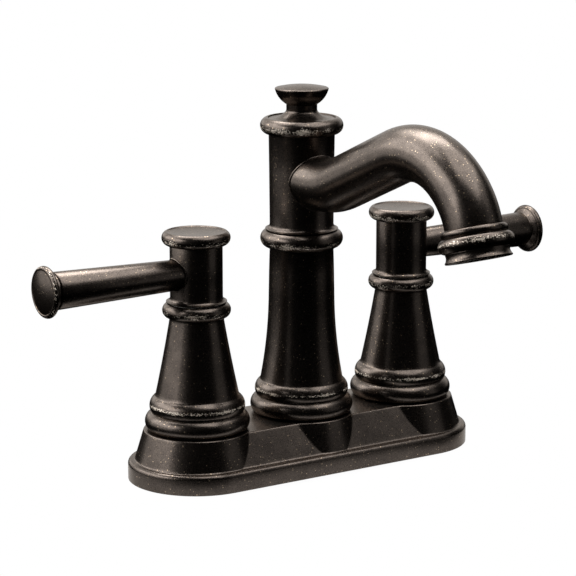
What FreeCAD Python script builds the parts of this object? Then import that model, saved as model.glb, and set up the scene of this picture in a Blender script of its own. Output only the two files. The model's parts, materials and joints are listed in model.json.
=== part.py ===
import FreeCAD, Part
import math
import os

# Centerset bathroom faucet in millimetres: +Z up, the spout towards -Y, the hot handle at -X.
# The origin is where the lift rod's axis crosses the top of the basin deck.

V = FreeCAD.Vector
UP = V(0, 0, 1)
FRONT = V(0, -1, 0)

# Layout
handle_spacing = 101.6
running_clearance = 0.05
slip_clearance = 0.4
thread_clearance = 0.05
casting_wall = 2.2

# Deck plate: a stadium plinth, three tapered pedestals and the sloping web between them
plate_radius = 28.4
plinth_height = 8.0
plinth_edge = 1.8
pedestal_radius = 0.771 * plate_radius
pedestal_top = 20.5
pedestal_flare = 0.297
web_half_top = 0.616 * plate_radius
web_half_foot = pedestal_radius + pedestal_flare * (pedestal_top - plinth_height) - 0.6
web_end_overlap = 3.0
foot_fillet = 0.7
corner_blend = 3.0
plate_rim_round = 0.5
gasket_thickness = 2.5
gasket_inset = 0.2

# The pair of beads at the foot of every tower, as wide as the plate allows
lower_bead_radius = 0.75 * plate_radius
lower_bead_height = 7.3
lower_bead_foot = 0.69 * plate_radius
bead_valley = 0.658 * plate_radius
upper_bead_radius = 0.683 * plate_radius
upper_bead_height = 6.5
upper_bead_shoulder = 0.609 * plate_radius

# Handle pillars
pillar_foot_radius = upper_bead_shoulder - 0.35
pillar_top_radius = 10.85
pillar_waist_radius = (pillar_foot_radius + pillar_top_radius) / 2 - 0.2
ring_height = 69.65
ring_bead = 3.0
glide_ring_thickness = 0.3
glide_ring_width = 2.8

# Turning hubs
hub_radius = 10.63
hub_foot_flare = 1.7
hub_foot_lip = 0.45
hub_height = 23.25
cap_bead = 3.2
cap_dish_radius = 11.4
cap_dish_step = 0.35
cap_dish_depth = 0.5
cap_spigot_radius = 7.6
cap_spigot_length = 5.0

# Levers
lever_above_foot = 11.95
lever_root_radius = 6.15
lever_tip_radius = 7.5
lever_seat = 8.3
lever_shoulder = 64.6
lever_neck_radius = 6.7
lever_neck_length = 0.9
lever_socket_clearance = 0.45
lever_tenon_radius = 2.8
lever_tenon_length = 4.4
disc_centre = 68.1
disc_radius = 10.3
disc_edge = 1.25
disc_dome = 1.3

# Spout tower
tower_top_radius = 13.5
tower_neck_radius = tower_top_radius - 0.38
tower_mid_radius = tower_top_radius + 0.1
tower_mid_share = 0.63
tower_foot_radius = upper_bead_shoulder - 0.2
tower_flare_radius = tower_mid_radius + 0.3 * (tower_foot_radius - tower_mid_radius)
tower_flare_share = 0.31
tower_ring_below_spout = 24.1
tower_ring_below = 4.0
tower_ring_above = 3.1
tower_ring_shoulder = tower_top_radius + 1.4
tower_bead = 3.5
tower_joint_gap = 0.3
tower_lip_flare = 1.9
tower_top_ring_above_spout = 22.25
tower_bore = tower_top_radius - 2.4
tower_spigot_length = 8.0
tower_spigot_wall = 0.8
roof_radius = tower_top_radius + 0.1
roof_seat_depth = 0.9
roof_edge = 0.5
roof_neck_radius = 6.45
roof_rise = 3.3

# Spout
spout_height = 118.1
spout_radius = tower_top_radius - 2.5
spout_bore = spout_radius - 2.2
spout_lead = 16.1
rise_bend = 39.4
rise_angle = 23.2
rise_run = 37.3
arch_bend = 37.0
outlet_bend = 26.7
outlet_turn = 20.2
outlet_lean = 17.0

# Outlet collar and aerator
collar_ring_radius = spout_radius + 1.8
collar_ring_length = 3.0
collar_waist = spout_radius + 1.1
collar_bead_radius = spout_radius + 3.5
collar_bead_length = 5.6
collar_bore = spout_radius
skirt_radius = spout_radius + 1.9
skirt_neck = spout_radius + 1.3
skirt_length = 3.8
skirt_hollow = 0.45
aerator_seat = 1.4
aerator_gasket_thickness = 1.2
aerator_bore = collar_bore - 1.6
aerator_lip = 1.0
aerator_screen_thickness = 0.9

# Waterway
supply_radius = 0.288 * tower_bore
supply_bore = supply_radius - 0.9
riser_offset = tower_bore - 1.1 - supply_radius
riser_foot = 30.0
cross_tube_radius = 4.7
cross_tube_wall = 0.8
cross_tube_height = 12.6
cross_tube_seat = 3.4

# Valve bodies and their shanks
flange_radius = 15.0
neck_radius = 11.5
neck_top = 40.0
shank_radius = 10.45
shank_bore = 6.4
shank_length = 58.0
shank_relief_top = 38.0
shank_relief_width = 2.0
shank_relief_depth = 0.85
seat_height = 4.0
chamber_radius = 10.6
chamber_bottom = 8.0
chamber_top = 17.2
centre_chamber_radius = 8.2
centre_sleeve_radius = 4.3
centre_neck_top = 36.0

# Cartridges
cartridge_radius = 9.0
cartridge_wall = 1.4
cartridge_top = 33.0
cartridge_nose_radius = 6.5
cartridge_nose_top = 48.0
seal_height = 2.6
disc_thickness = 3.0
carrier_height = 7.2
stem_radius = 4.0
stem_grip = 15.0
bonnet_thread_radius = 9.9
bonnet_head_height = 5.0
bonnet_across_flats = 20.0
adapter_radius = 6.8
adapter_above_nose = 2.0
adapter_spigot_radius = 5.0
adapter_spigot_length = 6.05
screw_radius = 1.9
screw_head_radius = 3.8
screw_head_height = 2.8
screw_reach = 8.0
hub_web_thickness = 9.0

# Lift rod and knob
rod_radius = 2.4
rod_below_deck = 60.0
rod_hole = 2.9
bush_radius = 4.0
knob_neck_radius = 6.3
knob_neck_height = 2.4
knob_radius = 10.95
knob_bowl_height = 6.2
knob_edge = 0.5
knob_dome = 1.2

# Under the deck
deck_thickness = 22.0
washer_thickness = 2.0
washer_radius = 17.0
nut_height = 11.0
nut_across_flats = 30.0
nut_flange_radius = 18.0
nut_flange_height = 2.5

half_spacing = handle_spacing / 2
pillar_axes = {"left": -half_spacing, "right": half_spacing}
plate_inner = plate_radius - casting_wall
web_reach = half_spacing - web_end_overlap
plate_ceiling = pedestal_top - casting_wall
lower_bead_top = pedestal_top + lower_bead_height
upper_bead_top = lower_bead_top + upper_bead_height
ring_top = ring_height + ring_bead
hub_foot = ring_top + glide_ring_thickness
hub_top = hub_foot + hub_height
lever_height = hub_foot + lever_above_foot
adapter_top = hub_foot + adapter_spigot_length
adapter_foot = cartridge_nose_top + adapter_above_nose
stem_top = adapter_top - stem_grip
hub_web_top = adapter_top + hub_web_thickness
tower_ring_height = spout_height - tower_ring_below_spout
tower_ring_foot = tower_ring_height - tower_ring_below
tower_top_ring_height = spout_height + tower_top_ring_above_spout
shank_bottom = -shank_length


class Outline:
    """A closed outline of (radius, height) points, turned about +Z into a solid."""

    def __init__(self, radius, height):
        self.first = self.here = V(radius, 0, height)
        self.edges = []

    def line(self, radius, height):
        there = V(radius, 0, height)
        if there.distanceToPoint(self.here) > 1e-6:
            self.edges.append(Part.makeLine(self.here, there))
        self.here = there
        return self

    def arc(self, mid_radius, mid_height, radius, height):
        there = V(radius, 0, height)
        self.edges.append(Part.Arc(self.here, V(mid_radius, 0, mid_height), there).toShape())
        self.here = there
        return self

    def half_round(self, radius, centre_height, size):
        """A half-round bead of the given size that stands out from a wall of that radius."""
        self.line(radius, centre_height - size)
        return self.arc(radius + size, centre_height, radius, centre_height + size)

    def cove(self, radius, height, inwards=True):
        """A quarter-round hollow to the new point, its centre level with the wider point's side."""
        start = self.here
        wide = max(start.x, radius)
        level = height if inwards else start.z
        centre = V(wide, 0, level)
        size_r = abs(start.x - radius)
        size_z = abs(start.z - height)
        half = math.sqrt(0.5)
        down = -1 if start.z < level or height < level else 1
        return self.arc(centre.x - half * size_r, centre.z + down * half * size_z, radius, height)

    def dome(self, rise):
        """A shallow dome or dish up to the axis, square to it there."""
        start = self.here
        reach = (start.x ** 2 + rise ** 2) / (2 * rise)
        half = math.asin(start.x / reach) / 2
        top = start.z + rise
        return self.arc(abs(reach) * math.sin(abs(half)), top - reach * (1 - math.cos(half)), 0, top)

    def turn(self):
        self.line(self.first.x, self.first.z)
        face = Part.Face(Part.Wire(self.edges))
        return face.revolve(V(0, 0, 0), UP, 360)


def cylinder(radius, bottom, top, x=0.0, y=0.0):
    return Part.makeCylinder(radius, top - bottom, V(x, y, bottom), UP)


def ring(outer, inner, bottom, top):
    return cylinder(outer, bottom, top).cut(cylinder(inner, bottom - 1, top + 1))


def stadium(radius, bottom, top):
    """A long round-ended block between the two handle axes."""
    block = Part.makeBox(handle_spacing, 2 * radius, top - bottom, V(-half_spacing, -radius, bottom))
    ends = [cylinder(radius, bottom, top, x=x) for x in pillar_axes.values()]
    return block.fuse(ends).removeSplitter()


def hexagon(across_flats, bottom, top):
    corner = across_flats / math.sqrt(3)
    points = [V(corner * math.cos(a), corner * math.sin(a), bottom)
              for a in [math.radians(60 * i) for i in range(7)]]
    return Part.Face(Part.makePolygon(points)).extrude(UP * (top - bottom))


def moved(shape, x=0.0, y=0.0, z=0.0):
    copy = shape.copy()
    copy.translate(V(x, y, z))
    return copy


def aligned(shape, point, direction):
    """The shape with its own +Z laid along the direction, from the point."""
    copy = shape.copy()
    copy.Placement = FreeCAD.Placement(point, FreeCAD.Rotation(UP, direction))
    return copy


# Deck plate and gasket

def pedestal_radius_at(height, inset=0.0):
    return pedestal_radius - inset + pedestal_flare * (pedestal_top - height)


def pedestal(inset, foot, top, rim):
    """One tapered pedestal, its rim slightly rounded."""
    outline = Outline(0, foot).line(pedestal_radius_at(foot, inset), foot)
    outline.line(pedestal_radius_at(top - rim, inset), top - rim)
    if rim:
        outline.arc(pedestal_radius_at(top, inset) - 0.2 * rim, top - 0.2 * rim,
                    pedestal_radius_at(top, inset) - rim, top)
    return outline.line(0, top).turn()


def web_half_at(height):
    slope = (web_half_foot - web_half_top) / (pedestal_top - plinth_height)
    return web_half_top + slope * (pedestal_top - height)


def web(inset, foot, top, rim):
    """The straight block with sloping sides that joins the pedestals."""
    half_foot = web_half_at(foot) - inset
    half_side = web_half_at(top - rim) - inset
    half_top = web_half_at(top) - inset - rim
    corners = [(-half_foot, foot), (half_foot, foot), (half_side, top - rim), (half_top, top),
               (-half_top, top), (-half_side, top - rim)]
    if not rim:
        corners = corners[:2] + corners[3:5]
    points = [V(-web_reach, y, z) for y, z in corners]
    return Part.Face(Part.makePolygon(points + points[:1])).extrude(V(2 * web_reach, 0, 0))


def level_edges(shape, height, reach):
    """Edges that lie flat at one height, all their ends less than reach from the long centre line."""
    return [e for e in shape.Edges if abs(e.BoundBox.ZMin - height) < 1e-4
            and abs(e.BoundBox.ZMax - height) < 1e-4
            and max(abs(v.Y) for v in e.Vertexes) < reach]


def deck_plate():
    plinth = stadium(plate_radius, 0, plinth_height)
    plinth = plinth.makeFillet(plinth_edge, level_edges(plinth, plinth_height, plate_radius + 1))
    centres = [pillar_axes["left"], 0, pillar_axes["right"]]
    outside = pedestal(0, plinth_height - 1, pedestal_top, plate_rim_round)
    crown = web(0, plinth_height - 1, pedestal_top, plate_rim_round)
    crown = crown.fuse([moved(outside, x=x) for x in centres])
    body = plinth.fuse(crown).removeSplitter()
    corners = [e for e in body.Edges if e.BoundBox.ZMin > plinth_height - 0.1
               and isinstance(e.Curve, Part.Ellipse)]
    body = body.makeFillet(corner_blend, corners)
    foot = level_edges(body, plinth_height, plate_radius - plinth_edge - 0.01)
    body = body.makeFillet(foot_fillet, foot)
    inside = pedestal(casting_wall, -1, plate_ceiling, 0)
    hollow = web(casting_wall, -1, plate_ceiling, 0).fuse([moved(inside, x=x) for x in centres])
    hollow = hollow.common(stadium(plate_inner, -1, plate_ceiling))
    holes = [cylinder(neck_radius + slip_clearance, 0, pedestal_top + 1, x=x) for x in centres]
    floor_space = stadium(plate_inner, -1, plinth_height - casting_wall)
    return body.cut([hollow, floor_space] + holes).removeSplitter()


def deck_gasket():
    pad = stadium(plate_inner - gasket_inset, 0, gasket_thickness)
    holes = [cylinder(shank_radius + slip_clearance, -1, gasket_thickness + 1, x=x)
             for x in pillar_axes.values()]
    holes.append(cylinder(rod_hole + slip_clearance, -1, gasket_thickness + 1))
    return pad.cut(holes)


# Waterway

def valve_body(side):
    """Threaded shank, flange under the plate and neck for the handle pillar, in one brass turning."""
    relief_top = -shank_relief_top
    relief_bottom = relief_top - shank_relief_width
    relief_radius = shank_radius - shank_relief_depth
    body = (Outline(shank_bore, shank_bottom).line(shank_radius, shank_bottom)
            .line(shank_radius, relief_bottom).line(relief_radius, relief_bottom)
            .line(relief_radius, relief_top).line(shank_radius, relief_top)
            .line(shank_radius, gasket_thickness).line(flange_radius, gasket_thickness)
            .line(flange_radius, plate_ceiling).line(neck_radius, plate_ceiling)
            .line(neck_radius, neck_top).line(bonnet_thread_radius, neck_top)
            .line(bonnet_thread_radius, cartridge_top)
            .line(cartridge_radius + running_clearance, cartridge_top)
            .line(cartridge_radius + running_clearance, chamber_top)
            .line(chamber_radius, chamber_top).line(chamber_radius, chamber_bottom)
            .line(cartridge_radius + running_clearance, chamber_bottom)
            .line(cartridge_radius + running_clearance, seat_height)
            .line(shank_bore, seat_height).turn())
    inwards = V(1, 0, 0) if side == "left" else V(-1, 0, 0)
    port = Part.makeCylinder(cross_tube_radius + thread_clearance, flange_radius,
                             V(0, 0, cross_tube_height), inwards)
    return moved(body.cut(port), x=pillar_axes[side])


def centre_body():
    """Brass tee: both cross tubes feed a ring chamber round the lift rod, and the riser leaves its top."""
    body = cylinder(flange_radius, gasket_thickness, plate_ceiling)
    body = body.fuse(cylinder(neck_radius, plate_ceiling, centre_neck_top))
    chamber = ring(centre_chamber_radius, centre_sleeve_radius, chamber_bottom, chamber_top)
    cuts = [chamber, cylinder(rod_hole, 0, centre_neck_top + 1)]
    cuts.append(cylinder(supply_bore, chamber_top - 1, centre_neck_top, y=-riser_offset))
    cuts.append(cylinder(supply_radius + thread_clearance, riser_foot, centre_neck_top + 1, y=-riser_offset))
    for direction in (V(1, 0, 0), V(-1, 0, 0)):
        start = V(0, 0, cross_tube_height) + direction * (centre_sleeve_radius + 1)
        cuts.append(Part.makeCylinder(cross_tube_radius + thread_clearance, flange_radius, start, direction))
    return body.cut(cuts)


def cross_tube(side):
    """Copper tube brazed into the valve body and the centre body."""
    sign = -1 if side == "left" else 1
    outer_end = half_spacing - flange_radius + cross_tube_seat
    inner_end = flange_radius - cross_tube_seat
    start = V(sign * inner_end, 0, cross_tube_height)
    length = outer_end - inner_end
    along = V(sign, 0, 0)
    tube = Part.makeCylinder(cross_tube_radius, length, start, along)
    return tube.cut(Part.makeCylinder(cross_tube_radius - cross_tube_wall, length, start, along))


# Spout: straight runs and tangent bends in the plane X = 0

spout_start = V(0, 0, spout_height)
arch_angle = rise_angle + 90 - outlet_lean - outlet_turn
spout_runs = [("run", spout_lead), ("bend", rise_bend, rise_angle), ("run", rise_run),
              ("bend", arch_bend, -arch_angle), ("bend", outlet_bend, -outlet_turn)]


def follow(radius, point, direction, runs):
    """A round bar of one radius along runs and bends; returns its solid, end point and end direction."""
    pieces = []
    for run in runs:
        if run[0] == "run":
            pieces.append(Part.makeCylinder(radius, run[1], point, direction))
            point = point + direction * run[1]
            continue
        bend_radius, angle = run[1], run[2]
        side = V(0, -direction.z, direction.y) if angle < 0 else V(0, direction.z, -direction.y)
        centre = point + side * bend_radius
        axis = V(-1, 0, 0)
        section = Part.Face(Part.Wire(Part.makeCircle(radius, point, direction)))
        pieces.append(section.revolve(centre, axis, angle))
        turn = FreeCAD.Rotation(axis, angle)
        point = centre + turn.multVec(point - centre)
        direction = turn.multVec(direction)
    solid = pieces[0].fuse(pieces[1:]) if len(pieces) > 1 else pieces[0]
    return solid.removeSplitter(), point, direction


spout_bar, outlet_point, outlet_direction = follow(spout_radius, spout_start, FRONT, spout_runs)
collar_bead_top = collar_ring_length + collar_bead_length
skirt_end = collar_bead_top + skirt_length


def at_outlet(shape):
    """Lays a piece that was turned along its own +Z on the outlet's axis, mouth outwards."""
    return aligned(shape, outlet_point, outlet_direction)


def spout():
    """The cast spout with its ringed collar; its root fits the round hole in the tower's wall."""
    collar = (Outline(0, 0).line(spout_radius, 0)
              .arc(collar_ring_radius, collar_ring_length / 2, collar_waist, collar_ring_length)
              .arc(collar_bead_radius, collar_ring_length + collar_bead_length / 2,
                   skirt_neck, collar_bead_top)
              .line(0, collar_bead_top).turn())
    mouth = cylinder(collar_bore, aerator_seat, collar_bead_top + 1)
    bore = follow(spout_bore, spout_start, FRONT, spout_runs + [("run", collar_ring_length)])[0]
    body = spout_bar.fuse(at_outlet(collar)).removeSplitter()
    body = body.cut([bore, at_outlet(mouth)])
    tower_inside = cylinder(tower_bore + running_clearance, spout_height - 2 * spout_radius,
                            spout_height + 2 * spout_radius)
    return body.cut(tower_inside)


def supply_tube():
    """The water tube that rises beside the lift rod and runs inside the spout to the outlet plug."""
    start = V(0, -riser_offset, riser_foot)
    elbow = spout_lead - riser_offset
    runs = [("run", spout_height - elbow - riser_foot), ("bend", elbow, -90)]
    runs += spout_runs[1:] + [("run", aerator_seat)]
    solid = follow(supply_radius, start, UP, runs)[0]
    return solid.cut(follow(supply_bore, start, UP, runs)[0])


def outlet_plug():
    """Seals the supply tube's end into the spout's bore behind the aerator."""
    return at_outlet(ring(spout_bore - running_clearance, supply_radius + thread_clearance, 0, aerator_seat))


def aerator_gasket():
    return at_outlet(ring(collar_bore - thread_clearance, aerator_bore - 0.5, aerator_seat,
                          aerator_seat + aerator_gasket_thickness))


def aerator_shell():
    """The visible skirt under the collar, screwed into the outlet."""
    thread_top = aerator_seat + aerator_gasket_thickness
    thread = collar_bore - thread_clearance
    shell = (Outline(aerator_bore, thread_top).line(thread, thread_top)
             .line(thread, collar_bead_top).line(skirt_neck, collar_bead_top)
             .arc((skirt_neck + skirt_radius) / 2 - skirt_hollow, skirt_end - skirt_length / 2,
                  skirt_radius, skirt_end - 0.5)
             .line(skirt_radius - 0.3, skirt_end)
             .line(aerator_bore - aerator_lip, skirt_end)
             .line(aerator_bore - aerator_lip, skirt_end - aerator_lip)
             .line(aerator_bore, skirt_end - aerator_lip).turn())
    return at_outlet(shell)


def aerator_insert():
    """The flow former: a cup with a ring of water holes in its floor."""
    bottom = skirt_end - aerator_lip - aerator_screen_thickness
    top = aerator_seat + aerator_gasket_thickness
    body = cylinder(aerator_bore - running_clearance, top, bottom)
    body = body.cut(cylinder(aerator_bore - 1.5, top + 1.5, bottom + 1))
    circle = 0.585 * aerator_bore
    holes = [cylinder(0.6, top - 1, bottom, x=circle * math.cos(a), y=circle * math.sin(a))
             for a in [math.radians(30 * i) for i in range(12)]]
    return at_outlet(body.cut(holes))


def aerator_screen():
    bottom = skirt_end - aerator_lip
    disc = cylinder(aerator_bore - running_clearance, bottom - aerator_screen_thickness, bottom)
    return at_outlet(disc)


# Spout tower

def foot_beads(outline):
    """Adds the lower and upper bead from the plate's top upwards."""
    outline.line(lower_bead_foot, pedestal_top)
    outline.arc(lower_bead_radius, pedestal_top + 0.42 * lower_bead_height, bead_valley, lower_bead_top)
    outline.arc(upper_bead_radius, lower_bead_top + 0.42 * upper_bead_height,
                upper_bead_shoulder, upper_bead_top)
    return outline


def tower_base():
    """Lower half of the tower: foot beads, trumpet flare and the middle ring."""
    thread = neck_radius + thread_clearance
    top = tower_ring_height + tower_ring_above
    outline = foot_beads(Outline(thread, pedestal_top))
    trumpet = tower_ring_foot - upper_bead_top
    outline.line(tower_foot_radius, upper_bead_top + 0.5)
    outline.arc(tower_flare_radius, upper_bead_top + tower_flare_share * trumpet,
                tower_mid_radius, upper_bead_top + tower_mid_share * trumpet)
    outline.line(tower_neck_radius, tower_ring_foot)
    outline.arc(tower_top_radius + tower_bead, tower_ring_height, tower_ring_shoulder, top)
    outline.line(tower_bore, top).line(tower_bore, centre_neck_top + 3)
    outline.line(thread, centre_neck_top + 2)
    return outline.turn()


def tower_body():
    """Upper half of the tower: it drops into the base, takes the spout and carries the top ring."""
    foot = tower_ring_height + tower_ring_above + tower_joint_gap
    ring_foot = tower_top_ring_height - tower_bead
    top = tower_top_ring_height + tower_bead - 0.25
    seat = top - roof_seat_depth
    spigot = tower_bore - running_clearance
    inner = spigot - tower_spigot_wall
    outline = Outline(inner, foot - tower_spigot_length).line(spigot, foot - tower_spigot_length)
    outline.line(spigot, foot - tower_joint_gap).line(tower_neck_radius, foot - tower_joint_gap)
    outline.line(tower_neck_radius, foot).line(tower_neck_radius + tower_lip_flare, foot)
    outline.line(tower_neck_radius + tower_lip_flare, foot + hub_foot_lip)
    outline.cove(tower_neck_radius, foot + hub_foot_lip + tower_lip_flare)
    outline.line(tower_top_radius, ring_foot)
    outline.arc(tower_top_radius + tower_bead, tower_top_ring_height, tower_top_radius + 1.0, top)
    outline.line(roof_radius + slip_clearance / 2, top).line(roof_radius + slip_clearance / 2, seat)
    outline.line(tower_bore, seat).line(tower_bore, foot + 1).line(inner, foot)
    body = outline.turn()
    hole = Part.makeCylinder(spout_radius + running_clearance, tower_top_radius + 2, spout_start, FRONT)
    return body.cut(hole)


roof_seat = tower_top_ring_height + tower_bead - 0.25 - roof_seat_depth
roof_top = roof_seat + roof_edge + roof_rise


def tower_roof():
    """The ogee cap on top of the tower, with the bush's seat in its middle."""
    edge = roof_seat + roof_edge
    outline = Outline(bush_radius, roof_seat).line(roof_radius, roof_seat).line(roof_radius, edge)
    outline.arc(roof_neck_radius + 0.32 * (roof_radius - roof_neck_radius), edge + 0.3 * roof_rise,
                roof_neck_radius, roof_top - 0.5)
    return outline.line(roof_neck_radius, roof_top).line(bush_radius, roof_top).turn()


def rod_bush():
    """Plastic bush that guides the lift rod in the tower's roof."""
    bush = ring(bush_radius - running_clearance, rod_radius + running_clearance, roof_seat - 3, roof_top - 0.2)
    flange = ring(bush_radius + 2, rod_radius + running_clearance, roof_seat - 3, roof_seat)
    return bush.fuse(flange).removeSplitter()


# Lift rod

knob_foot = roof_top
knob_rim = knob_foot + knob_neck_height + knob_bowl_height


def lift_rod():
    return cylinder(rod_radius, -rod_below_deck, knob_foot + 5)


def lift_knob():
    """Collar, bowl and slightly domed top, turned in one and screwed on the rod."""
    bowl_foot = knob_foot + knob_neck_height
    outline = Outline(rod_radius, knob_foot).line(knob_neck_radius, knob_foot)
    outline.line(knob_neck_radius, bowl_foot)
    outline.arc(knob_neck_radius + 0.62 * (knob_radius - knob_neck_radius),
                bowl_foot + 0.41 * knob_bowl_height, knob_radius, knob_rim)
    outline.arc(knob_radius - 0.15, knob_rim + 0.35, knob_radius - 0.5, knob_rim + knob_edge)
    outline.dome(knob_dome)
    return outline.line(0, knob_foot + 5).line(rod_radius, knob_foot + 5).turn()


# Handle pillars, fixed to the valve bodies

def pillar():
    """Foot beads, tapering cone and the ring that the hub turns on."""
    thread = neck_radius + thread_clearance
    bore = adapter_radius + slip_clearance + 1.4
    foot = upper_bead_top + 0.5
    ring_foot = ring_height - ring_bead
    outline = foot_beads(Outline(thread, pedestal_top))
    outline.line(pillar_foot_radius, foot)
    outline.arc(pillar_waist_radius, (foot + ring_foot) / 2, pillar_top_radius, ring_foot)
    outline.arc(pillar_top_radius + ring_bead, ring_height, pillar_top_radius + 0.7, ring_top)
    outline.line(bore, ring_top).line(bore, ring_foot)
    outline.line(bonnet_across_flats / 2 + 2.5, neck_top + bonnet_head_height + 0.5)
    outline.line(bonnet_across_flats / 2 + 2.5, neck_top - 4).line(thread, neck_top - 5)
    return outline.turn()


def glide_ring():
    """Plastic washer that the hub slides on; it shows as the dark line above the pillar's ring."""
    outer = pillar_top_radius + 0.5
    return ring(outer, outer - glide_ring_width, ring_top, hub_foot)


# Cartridge

seal_top = seat_height + seal_height
moving_disc_foot = seal_top + disc_thickness
carrier_foot = moving_disc_foot + disc_thickness
carrier_radius = cartridge_radius - cartridge_wall - running_clearance


def cartridge_housing():
    """Brass shell open at the bottom, with water windows beside the carrier and a nose for the stem."""
    outline = Outline(cartridge_radius - cartridge_wall, seat_height).line(cartridge_radius, seat_height)
    outline.line(cartridge_radius, cartridge_top).line(cartridge_nose_radius, cartridge_top)
    outline.line(cartridge_nose_radius, cartridge_nose_top)
    outline.line(stem_radius + running_clearance, cartridge_nose_top)
    outline.line(stem_radius + running_clearance, carrier_foot + carrier_height + slip_clearance)
    outline.line(cartridge_radius - cartridge_wall, carrier_foot + carrier_height + slip_clearance)
    shell = outline.turn()
    window = Part.makeBox(4 * cartridge_radius, cartridge_radius, carrier_height - 3,
                          V(-2 * cartridge_radius, -cartridge_radius / 2, carrier_foot))
    return shell.cut(window)


def seat_seal():
    return ring(carrier_radius, shank_bore - 1.2, seat_height, seal_top)


def valve_disc(foot):
    """A ceramic disc with a half-moon water port."""
    disc = cylinder(carrier_radius, foot, foot + disc_thickness)
    port = cylinder(carrier_radius - 2, foot - 1, foot + disc_thickness + 1)
    half = Part.makeBox(4 * carrier_radius, 2 * carrier_radius, disc_thickness + 2,
                        V(-2 * carrier_radius, 1, foot - 1))
    return disc.cut(port.common(half))


def stem():
    """Carrier that drives the moving disc, and the stem that rises to the handle."""
    carrier = cylinder(carrier_radius, carrier_foot, carrier_foot + carrier_height)
    slot = Part.makeBox(4 * carrier_radius, 2 * carrier_radius, carrier_height - 3,
                        V(-2 * carrier_radius, 1, carrier_foot))
    return carrier.cut(slot).fuse(cylinder(stem_radius, carrier_foot + 1, stem_top)).removeSplitter()


def bonnet_nut():
    """Hex nut that screws into the neck and holds the cartridge down."""
    head = hexagon(bonnet_across_flats, neck_top, neck_top + bonnet_head_height)
    thread = cylinder(bonnet_thread_radius - thread_clearance, cartridge_top, neck_top)
    hole = cylinder(cartridge_nose_radius + running_clearance, cartridge_top - 1,
                    neck_top + bonnet_head_height + 1)
    return head.fuse(thread).cut(hole)


def stem_adapter():
    """Sleeve on the stem with a spigot that the hub sits on, tapped for the handle screw."""
    outline = Outline(stem_radius, adapter_foot).line(adapter_radius, adapter_foot)
    outline.line(adapter_radius, hub_foot).line(adapter_spigot_radius, hub_foot)
    outline.line(adapter_spigot_radius, adapter_top).line(screw_radius, adapter_top)
    outline.line(screw_radius, adapter_top - screw_reach)
    outline.line(0, adapter_top - screw_reach).line(0, stem_top).line(stem_radius, stem_top)
    return outline.turn()


# Turning handles

def lever_cut(side):
    """The flat-bottomed socket in the hub's side and the hole for the lever's tenon."""
    outwards = V(-1, 0, 0) if side == "left" else V(1, 0, 0)
    centre = V(0, 0, lever_height)
    socket = Part.makeCylinder(lever_root_radius + lever_socket_clearance, hub_radius,
                               centre + outwards * lever_seat, outwards)
    tenon = Part.makeCylinder(lever_tenon_radius + thread_clearance, lever_tenon_length + 0.3,
                              centre + outwards * (lever_seat - lever_tenon_length - 0.3), outwards)
    return socket.fuse(tenon)


def handle_hub(side):
    """Round hub: foot lip on the pillar's ring, screw seat inside, lever socket in its side."""
    outline = Outline(adapter_spigot_radius + running_clearance, hub_foot)
    outline.line(hub_radius + hub_foot_flare, hub_foot)
    outline.line(hub_radius + hub_foot_flare, hub_foot + hub_foot_lip)
    outline.cove(hub_radius, hub_foot + hub_foot_lip + hub_foot_flare)
    outline.line(hub_radius, hub_top).line(cap_spigot_radius + thread_clearance, hub_top)
    outline.line(cap_spigot_radius + thread_clearance, hub_web_top)
    outline.line(screw_radius + 0.2, hub_web_top).line(screw_radius + 0.2, adapter_top)
    outline.line(adapter_spigot_radius + running_clearance, adapter_top)
    return moved(outline.turn().cut(lever_cut(side)), x=pillar_axes[side])


def handle_screw():
    head_top = hub_web_top + screw_head_height
    screw = cylinder(screw_radius, adapter_top - screw_reach, hub_web_top)
    head = cylinder(screw_head_radius, hub_web_top, head_top)
    slot = Part.makeBox(2 * screw_head_radius, 1.0, 1.2, V(-screw_head_radius, -0.5, head_top - 1.2))
    return screw.fuse(head.cut(slot)).removeSplitter()


def handle_cap():
    """Beaded cap with a shallow dish on top and a threaded spigot into the hub."""
    centre = hub_top + 0.96 * cap_bead
    rim_top = centre + 0.78 * cap_bead
    outline = Outline(0, hub_top - cap_spigot_length).line(cap_spigot_radius, hub_top - cap_spigot_length)
    outline.line(cap_spigot_radius, hub_top).line(hub_radius, hub_top)
    outline.arc(hub_radius + cap_bead, centre, cap_dish_radius + 0.8, rim_top)
    outline.line(cap_dish_radius + 0.25, rim_top).line(cap_dish_radius, rim_top - cap_dish_step)
    outline.dome(-cap_dish_depth)
    return outline.turn()


def lever(side):
    """Tapered bar with a tenon at its root and a rimmed, slightly domed disc at its tip."""
    disc_back = disc_centre - disc_edge
    disc_front = disc_centre + disc_edge
    rim = disc_radius - disc_edge
    outline = Outline(0, lever_seat - lever_tenon_length)
    outline.line(lever_tenon_radius, lever_seat - lever_tenon_length).line(lever_tenon_radius, lever_seat)
    outline.line(lever_root_radius - 0.4, lever_seat).line(lever_root_radius, lever_seat + 0.4)
    outline.line(lever_tip_radius, lever_shoulder - 0.6)
    outline.arc(lever_tip_radius - 0.15, lever_shoulder - 0.15, lever_neck_radius, lever_shoulder)
    outline.line(lever_neck_radius, lever_shoulder + lever_neck_length)
    outline.line(rim, disc_back).arc(disc_radius, disc_centre, rim, disc_front)
    outline.line(rim - 0.3, disc_front - 0.25)
    outline.dome(disc_dome)
    outwards = V(-1, 0, 0) if side == "left" else V(1, 0, 0)
    return aligned(outline.turn(), V(pillar_axes[side], 0, lever_height), outwards)


# Fasteners under the deck

def mounting_washers():
    washer = ring(washer_radius, shank_radius + slip_clearance, -deck_thickness - washer_thickness, -deck_thickness)
    return Part.makeCompound([moved(washer, x=x) for x in pillar_axes.values()])


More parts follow.
